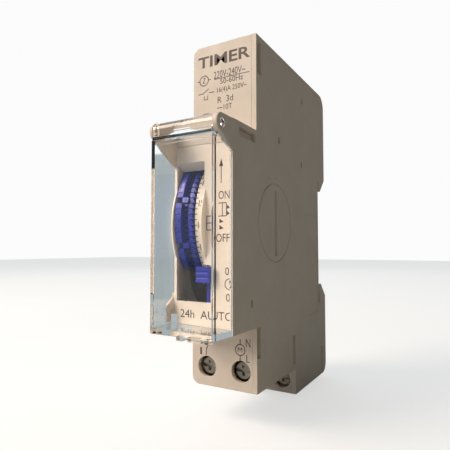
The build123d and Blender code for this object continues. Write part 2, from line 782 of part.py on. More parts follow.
def rotor_pinion():
    """Rotor spindle sleeve with its pinion."""
    gap_deg = ROTOR_DEG + 180 + HALF_PINION_PITCH
    pinion = gear(PINION_TEETH, MODULE, ROTOR, gap_deg, ROTOR_PINION_X)
    sleeve = rod_x(*ROTOR, ROTOR_SLEEVE_R, ROTOR_SLEEVE_X)
    return pinion + sleeve - rod_x(*ROTOR, ARBOR_R + GAP, ACROSS)


def train_arbors():
    """Steel pins fixed in the movement plate that the wheels turn on."""
    pins = [rod_x(*centre, ARBOR_R, (start, PLATE_X[1])) for centre, start in ARBOR_STARTS]
    return Compound(children=pins)


def movement_plate():
    """Inner plate that holds the dial axle and the arbors of the train."""
    plate = prism_x(MOVEMENT_OUTLINE, PLATE_X)
    for centre, _ in ARBOR_STARTS:
        plate -= rod_x(*centre, ARBOR_R, ACROSS)
    plate -= rod_x(DIAL_Y, DIAL_Z, AXLE_R, ACROSS)
    for y, z in FIXING_HOLES:
        plate -= rod_x(y, z, FIXING_R, ACROSS)
    return plate


def dial_axle():
    return rod_x(DIAL_Y, DIAL_Z, AXLE_R, (SKIN_X, PLATE_X[1]))


# Motor and electronics ----------------------------------------------------------------

STATOR_X = (0.9, 1.9)
STATOR_MIDDLE = sum(STATOR_X) / 2
STATOR_R = 5.2
STATOR_BORE_R = 3.4
ARM_WIDE = 2.0
POLE_GAP = 0.25
POLE_Y = (3.0, 6.0)
BAR_HALF_Y = 1.2
COIL_Y = -22.5
FLANGE_HALF = 2.1
FLANGE_THICK = 0.4
BOBBIN_HALF_X = 1.0
BOBBIN_HALF_Y = 1.7
BOBBIN_HALF_Z = 3.1
WIRE_HALF_X = 1.8
WIRE_HALF_Y = 2.0
WIRE_HALF_Z = 2.65
WIRE_ROUND = 0.6

BOARD_X = (-7.2, -5.6)
BOARD_Y = (-41.5, -2.0)
BOARD_Z = (25.5, 44.5)
BOARD_HOLES = ((-40.0, 27.0), (-3.5, 43.0))
CELL_AT = (-34.0, 34.5)
CELL_R = 7.0
CELL_RIGHT = -1.4
CELL_CAP_R = 5.4
CELL_CAP_X = (-1.5, -0.9)
CAPACITOR = ((BOARD_X[1], -0.2), (-7.6, -2.4), (33.5, 44.0))
CRYSTAL_AT = (-4.4, -18.2)
CHIP_X = (BOARD_X[1] + 0.2, BOARD_X[1] + 1.4)
CHIP_Y = (-24.0, -19.0)
CHIP_Z = (27.0, 33.0)
LEADS = 4
LEAD_PITCH = 1.5
LEAD_HALF = 0.2
LEAD_OUT = 0.9
LEAD_HIGH = 0.6
RESISTOR_AT = (-4.6, -11.0)


def motor_stator():
    """Laminated core: a ring round the rotor and two arms to the coil's bar."""
    y, z = ROTOR
    arm_y = (COIL_Y - BAR_HALF_Y, y)
    core = rod_x(y, z, STATOR_R, STATOR_X)
    core += block(STATOR_X, arm_y, (z + STATOR_R - ARM_WIDE, z + STATOR_R))
    core += block(STATOR_X, arm_y, (z - STATOR_R, z - STATOR_R + ARM_WIDE))
    bar_y = (COIL_Y - BAR_HALF_Y, COIL_Y + BAR_HALF_Y)
    core += block(STATOR_X, bar_y, (z - STATOR_R, z + STATOR_R))
    core -= rod_x(y, z, STATOR_BORE_R, ACROSS)
    gap_z = (z - POLE_GAP, z + POLE_GAP)
    core -= block(ACROSS, (y + POLE_Y[0], y + POLE_Y[1]), gap_z)
    core -= block(ACROSS, (y - POLE_Y[1], y - POLE_Y[0]), gap_z)
    return core


def coil_bobbin():
    """Plastic former of the coil: a square tube on the bar with two flanges."""
    z = ROTOR[1]
    x = (STATOR_MIDDLE - BOBBIN_HALF_X, STATOR_MIDDLE + BOBBIN_HALF_X)
    y = (COIL_Y - BOBBIN_HALF_Y, COIL_Y + BOBBIN_HALF_Y)
    body = block(x, y, (z - BOBBIN_HALF_Z, z + BOBBIN_HALF_Z))
    flange_x = (STATOR_MIDDLE - FLANGE_HALF, STATOR_MIDDLE + FLANGE_HALF)
    flange_y = (COIL_Y - FLANGE_HALF, COIL_Y + FLANGE_HALF)
    for low in (z - BOBBIN_HALF_Z, z + BOBBIN_HALF_Z - FLANGE_THICK):
        body += block(flange_x, flange_y, (low, low + FLANGE_THICK))
    bar_y = (COIL_Y - BAR_HALF_Y, COIL_Y + BAR_HALF_Y)
    return body - block(STATOR_X, bar_y, (z - STATOR_R, z + STATOR_R))


def coil_winding():
    z = ROTOR[1]
    outer_x = (STATOR_MIDDLE - WIRE_HALF_X, STATOR_MIDDLE + WIRE_HALF_X)
    outer_y = (COIL_Y - WIRE_HALF_Y, COIL_Y + WIRE_HALF_Y)
    wire = block(outer_x, outer_y, (z - WIRE_HALF_Z, z + WIRE_HALF_Z))
    wire = fillet(wire.edges().filter_by(Axis.Z), WIRE_ROUND)
    inner_x = (STATOR_MIDDLE - BOBBIN_HALF_X, STATOR_MIDDLE + BOBBIN_HALF_X)
    inner_y = (COIL_Y - BOBBIN_HALF_Y, COIL_Y + BOBBIN_HALF_Y)
    return wire - block(inner_x, inner_y, (z - BOBBIN_HALF_Z, z + BOBBIN_HALF_Z))


def circuit_board():
    board = block(BOARD_X, BOARD_Y, BOARD_Z)
    for y, z in BOARD_HOLES:
        board -= rod_x(y, z, 1.0, ACROSS)
    return board


def backup_battery():
    """Rechargeable button cell that keeps the clock going when the supply fails."""
    can = rod_x(*CELL_AT, CELL_R, (BOARD_X[1], CELL_RIGHT))
    can = fillet(can.edges().sort_by(Axis.X)[-1], 0.7)
    return can + rod_x(*CELL_AT, CELL_CAP_R, CELL_CAP_X)


def dropper_capacitor():
    can = block(*CAPACITOR)
    return fillet(can.edges().filter_by(Axis.X), 0.5)


def quartz_crystal():
    return rod_z(*CRYSTAL_AT, 1.0, (38.0, 44.0)) + rod_z(*CRYSTAL_AT, 1.15, (37.6, 38.2))


def control_chip():
    """Small integrated circuit with four leads on each side."""
    body = block(CHIP_X, CHIP_Y, CHIP_Z)
    first = (CHIP_Z[0] + CHIP_Z[1] - (LEADS - 1) * LEAD_PITCH) / 2
    lead_y = (CHIP_Y[0] - LEAD_OUT, CHIP_Y[1] + LEAD_OUT)
    leads = []
    for row in range(LEADS):
        z = first + row * LEAD_PITCH
        lead_z = (z - LEAD_HALF, z + LEAD_HALF)
        leads.append(block((BOARD_X[1], BOARD_X[1] + LEAD_HIGH), lead_y, lead_z))
    return body.fuse(*leads)


def fuse_resistor():
    body = rod_z(*RESISTOR_AT, 0.95, (26.5, 31.5))
    return body + rod_z(*RESISTOR_AT, 0.3, (25.5, 32.5))


# Terminals ----------------------------------------------------------------------------

HEAD_FROM_FRONT = 1.35
SCREW_HEAD_R = 2.2
SCREW_HEAD_LONG = 1.3
SCREW_HEAD_CHAMFER = 0.3
RECESS_HALF = 0.4
RECESS_DEEP = 0.8
CROSS_HALF = 1.2
SHANK_END = 9.4
CAGE_FRONT = 5.1
CAGE_BACK = 14.1
CAGE_HALF_X = 2.7
CAGE_HALF_Z = 2.3
CAGE_NUT = 2.0
CAGE_SIDE = 0.8
CAGE_FLOOR = 1.0
BAR_FROM_FRONT = 9.8
BAR_THICK = 1.0
BAR_HALF = 1.7
BAR_LOW = (-34.0, -41.5)
WIRE_FROM_FRONT = 12.1


def terminal_screw(x, front, z):
    """Screw held in the case by its head; its turning draws the clamp forward."""
    head_y = (front + HEAD_FROM_FRONT, front + HEAD_FROM_FRONT + SCREW_HEAD_LONG)
    head = rod_y(x, z, SCREW_HEAD_R, head_y)
    head = chamfer(head.edges().sort_by(Axis.Y)[0], SCREW_HEAD_CHAMFER)
    screw = head + rod_y(x, z, SHANK_R, (head_y[1], front + SHANK_END))
    slot_y = (head_y[0] - 1, head_y[0] + RECESS_DEEP)
    narrow = RECESS_HALF
    screw -= block((x - CAGE_HALF_X, x + CAGE_HALF_X), slot_y, (z - narrow, z + narrow))
    screw -= block((x - narrow, x + narrow), slot_y, (z - CROSS_HALF, z + CROSS_HALF))
    return screw


def terminal_clamp(x, front, z):
    """Box clamp: its threaded wall rides on the screw and its floor grips the wire."""
    outer_x = (x - CAGE_HALF_X, x + CAGE_HALF_X)
    outer_y = (front + CAGE_FRONT, front + CAGE_BACK)
    clamp = block(outer_x, outer_y, (z - CAGE_HALF_Z, z + CAGE_HALF_Z))
    inner_x = (outer_x[0] + CAGE_SIDE, outer_x[1] - CAGE_SIDE)
    inner_y = (outer_y[0] + CAGE_NUT, outer_y[1] - CAGE_FLOOR)
    clamp -= block(inner_x, inner_y, (z - 2 * CAGE_HALF_Z, z + 2 * CAGE_HALF_Z))
    return clamp - rod_y(x, z, SHANK_R + GAP, (front, outer_y[0] + CAGE_NUT + 1))


def bar_at(x, front, z_span):
    """Flat conductor that runs up through a clamp."""
    return block((x - BAR_HALF, x + BAR_HALF), bar_y(front), z_span)


def bar_y(front):
    return (front + BAR_FROM_FRONT, front + BAR_FROM_FRONT + BAR_THICK)


BLADE_Z = (-23.3, -23.0)
BLADE_Y = (-40.6, -24.0)
BLADE_X = (-6.0, -1.9)
BLADE_ROOT = (-25.5, -23.15)
BLADE_ROOT_RIGHT = -2.8
BLADE_NARROW_FROM = -36.0
BLADE_EYE_R = 0.4
CLOSED_DEG = 3.0
CONTACT_X = -4.9
CONTACT_Y = -37.5
CONTACT_R = 1.1
CONTACT_TOP = -22.3
FIXED_Z = (-21.6, -20.9)
ARM_Z = (-20.9, -20.3)
RISER_X = (-7.35, -6.2)
ARM_X = (-7.35, -3.4)
ARM_FRONT = -39.4
SHELF_X = (-6.3, -2.9)
SHELF_Z = (-24.4, -23.6)
SHELF_FRONT = -25.6
TAB_X = (3.9, 5.3)


def busbar_switched():
    """From the front left terminal up beside the blade to the fixed contact above it."""
    bar = bar_at(-TERMINAL_X, SHOULDER, (BAR_LOW[0], -26.0))
    y = bar_y(SHOULDER)
    bar += block(RISER_X, y, (-27.5, ARM_Z[1]))
    return bar + block(ARM_X, (ARM_FRONT, y[1]), ARM_Z)


def fixed_contact():
    return rod_z(CONTACT_X, CONTACT_Y, CONTACT_R, FIXED_Z)


def busbar_load():
    """From the rear left terminal up and forward to the root of the contact blade."""
    bar = bar_at(-TERMINAL_X, REAR_STEP, (BAR_LOW[1], SHELF_Z[1]))
    return bar + block(SHELF_X, (SHELF_FRONT, bar_y(REAR_STEP)[1]), SHELF_Z)


def busbar_neutral():
    bar = bar_at(TERMINAL_X, SHOULDER, (BAR_LOW[0], -19.5))
    return bar + block(TAB_X, bar_y(SHOULDER), (-19.5, -16.0))


def busbar_line():
    bar = bar_at(TERMINAL_X, REAR_STEP, (BAR_LOW[1], -25.0))
    return bar + block(TAB_X, bar_y(REAR_STEP), (-25.0, -16.5))


def closed(shape):
    """Lifts a shape of the open blade about its root, up to the fixed contact."""
    axis = Axis((0, *BLADE_ROOT), (1, 0, 0))
    return shape.rotate(axis, -CLOSED_DEG)


def contact_blade():
    """Springy switch blade with a rolled eye at its root; the contacts are closed."""
    blade = block(BLADE_X, BLADE_Y, BLADE_Z)
    beside = (BLADE_ROOT_RIGHT, BLADE_X[1] + 1)
    blade -= block(beside, (BLADE_NARROW_FROM, BLADE_Y[1] + 1), (BLADE_Z[0] - 1, BLADE_Z[1] + 1))
    blade += rod_x(*BLADE_ROOT, BLADE_EYE_R, (BLADE_X[0], BLADE_ROOT_RIGHT))
    return closed(blade)


def blade_contact():
    return closed(rod_z(CONTACT_X, CONTACT_Y, CONTACT_R, (BLADE_Z[1], CONTACT_TOP)))


# Manual switch, lever and latch -------------------------------------------------------

SWITCH_X = (-1.5, 1.92)
SWITCH_Y = (-53.15, -52.15)
RIDGE_GROOVES = 2
RIDGE_GROOVE_R = 0.4
RIDGE_GROOVE_Y = -53.35
RIDGE_GROOVE_X = (-2.5, 1.55)
STEM_X = (0.15, 1.05)
STEM_BACK = -50.4
STEM_LOW = -15.7
STEM_FROM = PLATE_BACK + 2 * GAP
SWITCH_FOOT = ((0.15, 3.0), (-50.4, -46.0), (-15.7, -13.6))


def manual_switch():
    """Sliding selector: a ribbed head in front of the face on a stem in the window."""
    head = block(SWITCH_X, SWITCH_Y, SWITCH_Z)
    spacing = (SWITCH_Z[1] - SWITCH_Z[0]) / (RIDGE_GROOVES + 1)
    for groove in range(RIDGE_GROOVES):
        z = SWITCH_Z[0] + (groove + 1) * spacing
        head -= rod_x(RIDGE_GROOVE_Y, z, RIDGE_GROOVE_R, RIDGE_GROOVE_X)
    neck = block(STEM_X, (SWITCH_Y[1] - GAP, STEM_BACK), SWITCH_Z)
    stem = block(STEM_X, (STEM_FROM, STEM_BACK), (STEM_LOW, SWITCH_Z[1]))
    return head + neck + stem + block(*SWITCH_FOOT)


LEVER_LIFT_DEG = 9.5
LEVER_FACE_Y = (-50.75, -44.8)
LEVER_BORE_R = 0.85
LEVER_BOSS_R = 1.5
LEVER_PIN_R = 0.8
LEVER_PIN_RIGHT = -0.3
NOSE_TIP_R = GROOVE_R + 0.5
LEVER_CLEAR_R = HEAD_R + 0.35
ARM_WIDTH_X = (-3.1, -2.0)
LEVER_FACE = [
    (-5.3, -7.3),
    (-3.5, -7.3),
    (-3.5, -11.6),
    (-1.3, -16.4),
    (-1.3, -18.9),
    (-3.3, -18.9),
    (-5.3, -12.6),
]
NOSE_FACE = [(-5.2, -10.2), (-5.2, -7.3), (-4.1, -7.3), (-4.1, -10.2)]
ARM_PROFILE = [
    (-48.2, -19.4),
    (-48.2, -16.6),
    (-44.6, -16.9),
    (-41.8, -19.3),
    (-38.9, -22.0),
    (-38.9, BLADE_Z[1] + GAP),
    (-40.2, BLADE_Z[1] + GAP),
    (-40.2, -21.6),
    (-42.2, -20.0),
    (-45.0, -19.4),
]


def switch_lever():
    """Black follower, held lifted by the manual switch: its nose drops between the
    trippers when the switch is moved, and its arm then holds the blade open."""
    plate = prism_y(LEVER_FACE, LEVER_FACE_Y)
    plate -= rod_x(DIAL_Y, DIAL_Z, LEVER_CLEAR_R, ACROSS)
    nose = prism_y(NOSE_FACE, LEVER_FACE_Y)
    nose -= rod_x(DIAL_Y, DIAL_Z, NOSE_TIP_R, ACROSS)
    arm = prism_x(ARM_PROFILE, ARM_WIDTH_X)
    boss = rod_x(LEVER_Y, LEVER_Z, LEVER_BOSS_R, (-3.3, -0.6))
    lever = plate + nose + arm + boss
    lever -= rod_x(LEVER_Y, LEVER_Z, LEVER_BORE_R, ACROSS)
    return lever.rotate(Axis((0, LEVER_Y, LEVER_Z), (1, 0, 0)), LEVER_LIFT_DEG)


def lever_pin():
    """Fixed pin from the case's left wall that the lever turns on."""
    return rod_x(LEVER_Y, LEVER_Z, LEVER_PIN_R, (SKIN_X, LEVER_PIN_RIGHT))


LATCH_PROFILE = [
    (1.4, -14.75),
    (2.2, -14.75),
    (6.2, -18.8),
    (6.2, -20.2),
    (5.65, -20.8),
    (5.65, -44.4),
    (1.15, -44.4),
    (1.15, -19.4),
    (1.4, -19.2),
]
LATCH_WINDOW_HALF = 1.8
LATCH_WINDOW_Z = (-39.8, -28.2)
TOOL_SLOT = ((-2.2, 2.2), (2.4, 4.0), (-43.8, -42.0))
SPRING_WIRE_R = 0.2
SPRING_R = 1.1
SPRING_PITCH = 1.15
SPRING_Y = 3.4
SPRING_CLEAR = 0.02


def rail_latch():
    """Sliding foot: its nose hooks the lower flange and its end takes a screwdriver."""
    latch = prism_x(LATCH_PROFILE, (-LATCH_HALF, LATCH_HALF))
    window_x = (-LATCH_WINDOW_HALF, LATCH_WINDOW_HALF)
    latch -= block(window_x, (0, BACK), LATCH_WINDOW_Z)
    return latch - block(*TOOL_SLOT)


def latch_spring():
    """Coil spring between the case's peg and the upper end of the latch's window."""
    low = PEG_Z[1] + SPRING_WIRE_R + SPRING_CLEAR
    high = LATCH_WINDOW_Z[1] - SPRING_WIRE_R - SPRING_CLEAR
    centre = (0, SPRING_Y, low)
    path = Helix(pitch=SPRING_PITCH, height=high - low, radius=SPRING_R, center=centre)
    section = Plane(origin=path @ 0, z_dir=path % 0) * Circle(SPRING_WIRE_R)
    return sweep(section, path=path, is_frenet=True)


# All sub-parts ------------------------------------------------------------------------


def build():
    os.makedirs("parts", exist_ok=True)
    plain = [
        case_tub,
        side_cover,
        front_plate,
        clear_cover,
        dial_wheel,
        tripper_carrier,
        dial_axle,
        movement_plate,
        train_arbors,
        clutch_wheel,
        clutch_pinion,
        rotor_magnet,
        rotor_pinion,
        motor_stator,
        coil_bobbin,
        coil_winding,
        circuit_board,
        backup_battery,
        dropper_capacitor,
        quartz_crystal,
        control_chip,
        fuse_resistor,
        busbar_switched,
        busbar_load,
        busbar_neutral,
        busbar_line,
        fixed_contact,
        contact_blade,
        blade_contact,
        manual_switch,
        switch_lever,
        lever_pin,
        rail_latch,
        latch_spring,
    ]
    for make in plain:
        write(make(), make.__name__)
    third = train_wheel(THIRD, SECOND_DEG, THIRD_DEG + 180, THIRD_WHEEL_X, CLUTCH_WHEEL_X)
    write(third, "third_wheel")
    second = train_wheel(SECOND, FIRST_DEG, SECOND_DEG + 180, SECOND_WHEEL_X, THIRD_WHEEL_X)
    write(second, "second_wheel")
    first = train_wheel(FIRST, ROTOR_DEG, FIRST_DEG + 180, FIRST_WHEEL_X, SECOND_WHEEL_X)
    write(first, "first_wheel")
    for name, x, front, z in terminal_places():
        write(terminal_screw(x, front, z), f"screw_{name}")
        write(terminal_clamp(x, front, z), f"clamp_{name}")
    single = [FIRST_SINGLE - number for number in range(SINGLE_TRIPPERS)]
    for number, index in enumerate(single, start=1):
        write(tripper(index), f"tripper_{number:02d}")
    rest = [index for index in range(TRIPPERS) if index not in [i % TRIPPERS for i in single]]
    write(Compound(children=[tripper(index) for index in rest]), "other_trippers")


build()
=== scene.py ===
import json
import math

import bpy
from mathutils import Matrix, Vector


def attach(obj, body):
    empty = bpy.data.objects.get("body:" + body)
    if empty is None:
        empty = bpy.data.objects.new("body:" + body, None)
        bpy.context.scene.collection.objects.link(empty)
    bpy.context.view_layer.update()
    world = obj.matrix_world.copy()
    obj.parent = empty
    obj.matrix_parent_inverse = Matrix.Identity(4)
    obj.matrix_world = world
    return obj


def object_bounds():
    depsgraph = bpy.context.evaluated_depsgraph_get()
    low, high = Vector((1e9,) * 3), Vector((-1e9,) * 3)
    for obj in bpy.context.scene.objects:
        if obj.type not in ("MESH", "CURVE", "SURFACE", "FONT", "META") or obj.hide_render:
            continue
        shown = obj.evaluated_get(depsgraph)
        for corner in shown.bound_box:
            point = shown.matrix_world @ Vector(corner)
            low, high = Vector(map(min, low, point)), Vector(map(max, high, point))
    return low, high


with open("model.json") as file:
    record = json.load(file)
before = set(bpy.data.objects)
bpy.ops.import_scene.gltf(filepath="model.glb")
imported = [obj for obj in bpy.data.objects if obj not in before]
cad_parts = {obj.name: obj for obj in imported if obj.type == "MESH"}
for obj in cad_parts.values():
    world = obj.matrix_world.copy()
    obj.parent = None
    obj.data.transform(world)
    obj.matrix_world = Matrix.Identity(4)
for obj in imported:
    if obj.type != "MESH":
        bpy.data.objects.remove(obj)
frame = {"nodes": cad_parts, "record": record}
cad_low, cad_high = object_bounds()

# Looks of a one module 24 hour time switch. Metres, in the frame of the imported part: +X
# across the module, -Y towards the viewer, +Z up. Lengths are written in mm times MM.
MM = 0.001


# Materials ----------------------------------------------------------------------------

# Part of a texture's output that is spread over the whole range of a colour or gloss
NOISE_SPAN = (0.3, 0.7)
# For ridged metal this spread carries painted shade, dark in the grooves between the ridges.
RIDGE_SHADE_SPAN = (0.0, 0.6)

# A wave texture turns by this many radians over one unit of its scaled coordinate
WAVE_RADIANS = 20
WAVE_DISTORTION = 0.4
RIDGE_STRENGTH = 0.8

PLASTIC_CLOUDS = 6 * MM
PLASTIC_GLOSS = 2.5 * MM
PLASTIC_GRAIN = 0.25 * MM
PLASTIC_GRAIN_DEPTH = 0.03 * MM
PLASTIC_ROUGH = (0.42, 0.6)

METAL_CLOUDS = 3 * MM
METAL_GLOSS = 1.2 * MM
METAL_SCRATCHES = 0.4 * MM
METAL_SCRATCH_DEPTH = 0.02 * MM
METAL_SCRATCH_STRETCH = (1, 1, 12)
METAL_ROUGH = (0.28, 0.45)

RIDGED_GLOSS = 1.5 * MM
RIDGED_ROUGH = (0.3, 0.45)

CLEAR_TINT = (0.975, 0.975, 0.97, 1.0)
CLEAR_SHADOW_TINT = (0.96, 0.96, 0.95, 1.0)
CLEAR_IOR = 1.5
CLEAR_SMEARS = 5 * MM
CLEAR_SMEAR_STRETCH = (1, 1, 0.4)
CLEAR_ROUGH = (0.0, 0.05)
CLEAR_WAVES = 7 * MM
CLEAR_WAVE_DEPTH = 0.03 * MM
CLEAR_WAVE_STRENGTH = 0.3

INK_ROUGH = (0.5, 0.65)
INK_GRAIN = 0.12 * MM
INK_GRAIN_DEPTH = 0.01 * MM


def colour(red, green, blue):
    """Linear colour of an sRGB triple from 0 to 255."""
    linear = []
    for value in (red, green, blue):
        share = value / 255
        linear.append(share / 12.92 if share <= 0.04045 else ((share + 0.055) / 1.055) ** 2.4)
    return (*linear, 1.0)


class Finish:
    """A node material around one Principled shader."""

    def __init__(self, name):
        self.material = bpy.data.materials.new(name)
        self.material.use_nodes = True
        self.tree = self.material.node_tree
        self.shader = self.tree.nodes["Principled BSDF"]
        self.coords = self.add("ShaderNodeTexCoord").outputs["Object"]

    def add(self, kind, **values):
        """Adds a node with the given settings."""
        node = self.tree.nodes.new(kind)
        for key, value in values.items():
            setattr(node, key, value)
        return node

    def link(self, output, target):
        """Joins an output of one node to an input of another."""
        self.tree.links.new(output, target)

    def noise(self, size, detail=3.0, stretch=(1, 1, 1)):
        """Noise whose features are about the given size in metres."""
        mapping = self.add("ShaderNodeMapping")
        mapping.inputs["Scale"].default_value = stretch
        self.link(self.coords, mapping.inputs["Vector"])
        node = self.add("ShaderNodeTexNoise")
        node.inputs["Scale"].default_value = 1 / size
        node.inputs["Detail"].default_value = detail
        self.link(mapping.outputs["Vector"], node.inputs["Vector"])
        return node.outputs["Fac"]

    def bands(self, pitch, axis):
        """Regular ridges across an axis, such as windings or stacked sheets."""
        node = self.add("ShaderNodeTexWave", bands_direction=axis)
        node.inputs["Scale"].default_value = 2 * math.pi / pitch / WAVE_RADIANS
        node.inputs["Distortion"].default_value = WAVE_DISTORTION
        self.link(self.coords, node.inputs["Vector"])
        return node.outputs["Fac"]

    def mottle(self, source, dark, light, span=NOISE_SPAN):
        """Lets a texture lead the colour from one sRGB triple to another."""
        ramp = self.add("ShaderNodeValToRGB")
        ramp.color_ramp.elements[0].position = span[0]
        ramp.color_ramp.elements[0].color = colour(*dark)
        ramp.color_ramp.elements[1].position = span[1]
        ramp.color_ramp.elements[1].color = colour(*light)
        self.link(source, ramp.inputs["Fac"])
        self.link(ramp.outputs["Color"], self.shader.inputs["Base Color"])

    def roughness(self, source, smooth, rough):
        """Lets a texture lead the roughness from smooth to rough."""
        spread = self.add("ShaderNodeMapRange")
        spread.inputs["From Min"].default_value = NOISE_SPAN[0]
        spread.inputs["From Max"].default_value = NOISE_SPAN[1]
        spread.inputs["To Min"].default_value = smooth
        spread.inputs["To Max"].default_value = rough
        self.link(source, spread.inputs["Value"])
        self.link(spread.outputs["Result"], self.shader.inputs["Roughness"])

    def bump(self, source, depth, strength=0.5):
        """Turns a texture into relief of the given depth in metres."""
        node = self.add("ShaderNodeBump")
        node.inputs["Strength"].default_value = strength
        node.inputs["Distance"].default_value = depth
        self.link(source, node.inputs["Height"])
        self.link(node.outputs["Normal"], self.shader.inputs["Normal"])


def plastic(name, dark, light, rough=PLASTIC_ROUGH, grain=PLASTIC_GRAIN, depth=PLASTIC_GRAIN_DEPTH):
    """Moulded plastic: faint cloudy colour, eroded mould grain and uneven gloss."""
    made = Finish(name)
    made.mottle(made.noise(PLASTIC_CLOUDS), dark, light)
    made.roughness(made.noise(PLASTIC_GLOSS, detail=5.0), *rough)
    made.bump(made.noise(grain, detail=2.0), depth)
    return made.material


def ink(name, dark, light):
    """Printed ink: duller than the plastic under it, with hardly any relief."""
    return plastic(name, dark, light, INK_ROUGH, INK_GRAIN, INK_GRAIN_DEPTH)


def metal(name, dark, light):
    """Rolled or plated metal with drawn scratches and dull patches."""
    made = Finish(name)
    made.shader.inputs["Metallic"].default_value = 1.0
    made.mottle(made.noise(METAL_CLOUDS, detail=6.0), dark, light)
    made.roughness(made.noise(METAL_GLOSS, detail=6.0), *METAL_ROUGH)
    scratches = made.noise(METAL_SCRATCHES, detail=4.0, stretch=METAL_SCRATCH_STRETCH)
    made.bump(scratches, METAL_SCRATCH_DEPTH)
    return made.material


def ridged(name, dark, light, pitch, axis, depth):
    """Stacked metal sheets or wound wire, with painted shade: the colour is darker in the grooves
    between the ridges.
    """
    made = Finish(name)
    made.shader.inputs["Metallic"].default_value = 1.0
    ridges = made.bands(pitch, axis)
    # Painted shade: the colour follows the ridges' height, dark in the grooves and light on the
    # crests.
    made.mottle(ridges, dark, light, RIDGE_SHADE_SPAN)
    made.roughness(made.noise(RIDGED_GLOSS, detail=4.0), *RIDGED_ROUGH)
    made.bump(ridges, depth, RIDGE_STRENGTH)
    return made.material


def clear_plastic(name):
    """Clear polycarbonate with faint smears that lets lamp light through to the inside."""
    made = Finish(name)
    made.shader.inputs["Base Color"].default_value = CLEAR_TINT
    made.shader.inputs["Transmission Weight"].default_value = 1.0
    made.shader.inputs["IOR"].default_value = CLEAR_IOR
    smears = made.noise(CLEAR_SMEARS, detail=6.0, stretch=CLEAR_SMEAR_STRETCH)
    made.roughness(smears, *CLEAR_ROUGH)
    made.bump(made.noise(CLEAR_WAVES, detail=2.0), CLEAR_WAVE_DEPTH, CLEAR_WAVE_STRENGTH)
    path = made.add("ShaderNodeLightPath")
    through = made.add("ShaderNodeBsdfTransparent")
    through.inputs["Color"].default_value = CLEAR_SHADOW_TINT
    both = made.add("ShaderNodeMixShader")
    made.link(path.outputs["Is Shadow Ray"], both.inputs["Fac"])
    made.link(made.shader.outputs["BSDF"], both.inputs[1])
    made.link(through.outputs["BSDF"], both.inputs[2])
    made.link(both.outputs["Shader"], made.tree.nodes["Material Output"].inputs["Surface"])
    return made.material


# One finish for each material slot of the record
FINISHES = {
    "case": plastic("moulded case", (226, 214, 200), (232, 221, 207)),
    "face": plastic("printed face", (238, 229, 217), (243, 235, 224), (0.38, 0.52)),
    "clear": clear_plastic("clear cover"),
    "dial_white": plastic("dial white", (232, 224, 212), (240, 233, 222)),
    "blue": plastic("tripper blue", (28, 40, 152), (38, 52, 180), (0.35, 0.5)),
    "black": plastic("lever black", (20, 18, 17), (28, 25, 24), (0.45, 0.65)),
    "acetal": plastic("acetal", (222, 221, 212), (233, 232, 224), (0.3, 0.42)),
    "steel": metal("zinc plated steel", (150, 146, 138), (188, 184, 174)),
    "brass": metal("brass strip", (150, 120, 66), (186, 154, 92)),
    "bronze": metal("spring bronze", (158, 108, 72), (190, 138, 98)),
    "contact": metal("silver contact", (196, 194, 188), (222, 220, 214)),
    "magnet": plastic("sintered ferrite", (38, 38, 42), (52, 52, 57), (0.5, 0.75)),
    # Painted shade: laminated steel and enamelled wire are darker in the grooves between their
    # ridges.
    "core": ridged("laminated steel", (84, 86, 92), (132, 135, 140), 0.35 * MM, "X", 0.05 * MM),
    "copper": ridged("enamelled wire", (120, 52, 26), (190, 96, 52), 0.2 * MM, "Z", 0.06 * MM),
    "bobbin": plastic("glass filled nylon", (40, 40, 42), (50, 50, 53)),
    "board": plastic("glass epoxy board", (24, 72, 40), (36, 92, 54), (0.3, 0.5)),
    "cell": metal("nickel plated can", (168, 168, 168), (204, 204, 202)),
    "film": plastic("dipped capacitor", (140, 34, 22), (164, 46, 30), (0.18, 0.3)),
    "chip": plastic("moulded epoxy", (28, 28, 30), (38, 38, 41), (0.5, 0.65)),
    "ceramic_part": plastic("lacquered ceramic", (84, 108, 118), (100, 126, 136), (0.2, 0.35)),
}
INK = ink("printed ink", (88, 76, 70), (104, 92, 85))
DARK_INK = ink("dark ink", (58, 52, 50), (72, 66, 62))


def dress_nodes():
    """Gives every CAD node the finish of its slot in the record."""
    for row in frame["record"]["subparts"]:
        node = frame["nodes"][row["node"]]
        finish = FINISHES[row["material_slot"]]
        if not node.data.materials:
            node.data.materials.append(finish)
        for number in range(len(node.data.materials)):
            node.data.materials[number] = finish


# Rounded edges ------------------------------------------------------------------------

# Width of the rounding in mm
ROUNDED = {
    "case_tub": 0.22,
    "side_cover": 0.2,
    "front_plate": 0.1,
    "manual_switch": 0.1,
    "switch_lever": 0.15,
    "rail_latch": 0.25,
}
ROUND_SEGMENTS = 2
WELD_DISTANCE = 0.001 * MM
FLAT_ANGLE = math.radians(1)
SHARP_ANGLE = math.radians(40)


def round_edges(name, width):
    """Rounds the sharp edges of a moulded node by modifiers."""
    node = frame["nodes"][name]
    weld = node.modifiers.new("weld", "WELD")
    weld.merge_threshold = WELD_DISTANCE
    flatten = node.modifiers.new("flatten", "DECIMATE")
    flatten.decimate_type = "DISSOLVE"
    flatten.angle_limit = FLAT_ANGLE
    bevel = node.modifiers.new("round", "BEVEL")
    bevel.width = width
    bevel.segments = ROUND_SEGMENTS
    bevel.limit_method = "ANGLE"
    bevel.angle_limit = SHARP_ANGLE
    node.modifiers.new("even", "WEIGHTED_NORMAL")


# Printed marks ------------------------------------------------------------------------

# Marks are drawn flat in mm, with a height from 0 at the ink's foot to 1 at its top. The
# ink starts a little below the surface that carries it.
MARK_PROUD = 0.02 * MM
MARK_SUNK = 0.03 * MM
HALF_HEIGHT = 0.5

# Widths of lines in mm, and how far bold letters swell in the font's own units
FINE = 0.16
MEDIUM = 0.18
LINE = 0.2
HEAVY = 0.22
BOLD = 0.02

CIRCLE_STEPS = 32
LETTER_STEPS = 3

# Faces that carry marks
SHOULDER_Y = -44.0 * MM
PLATE_Y = -52.0 * MM

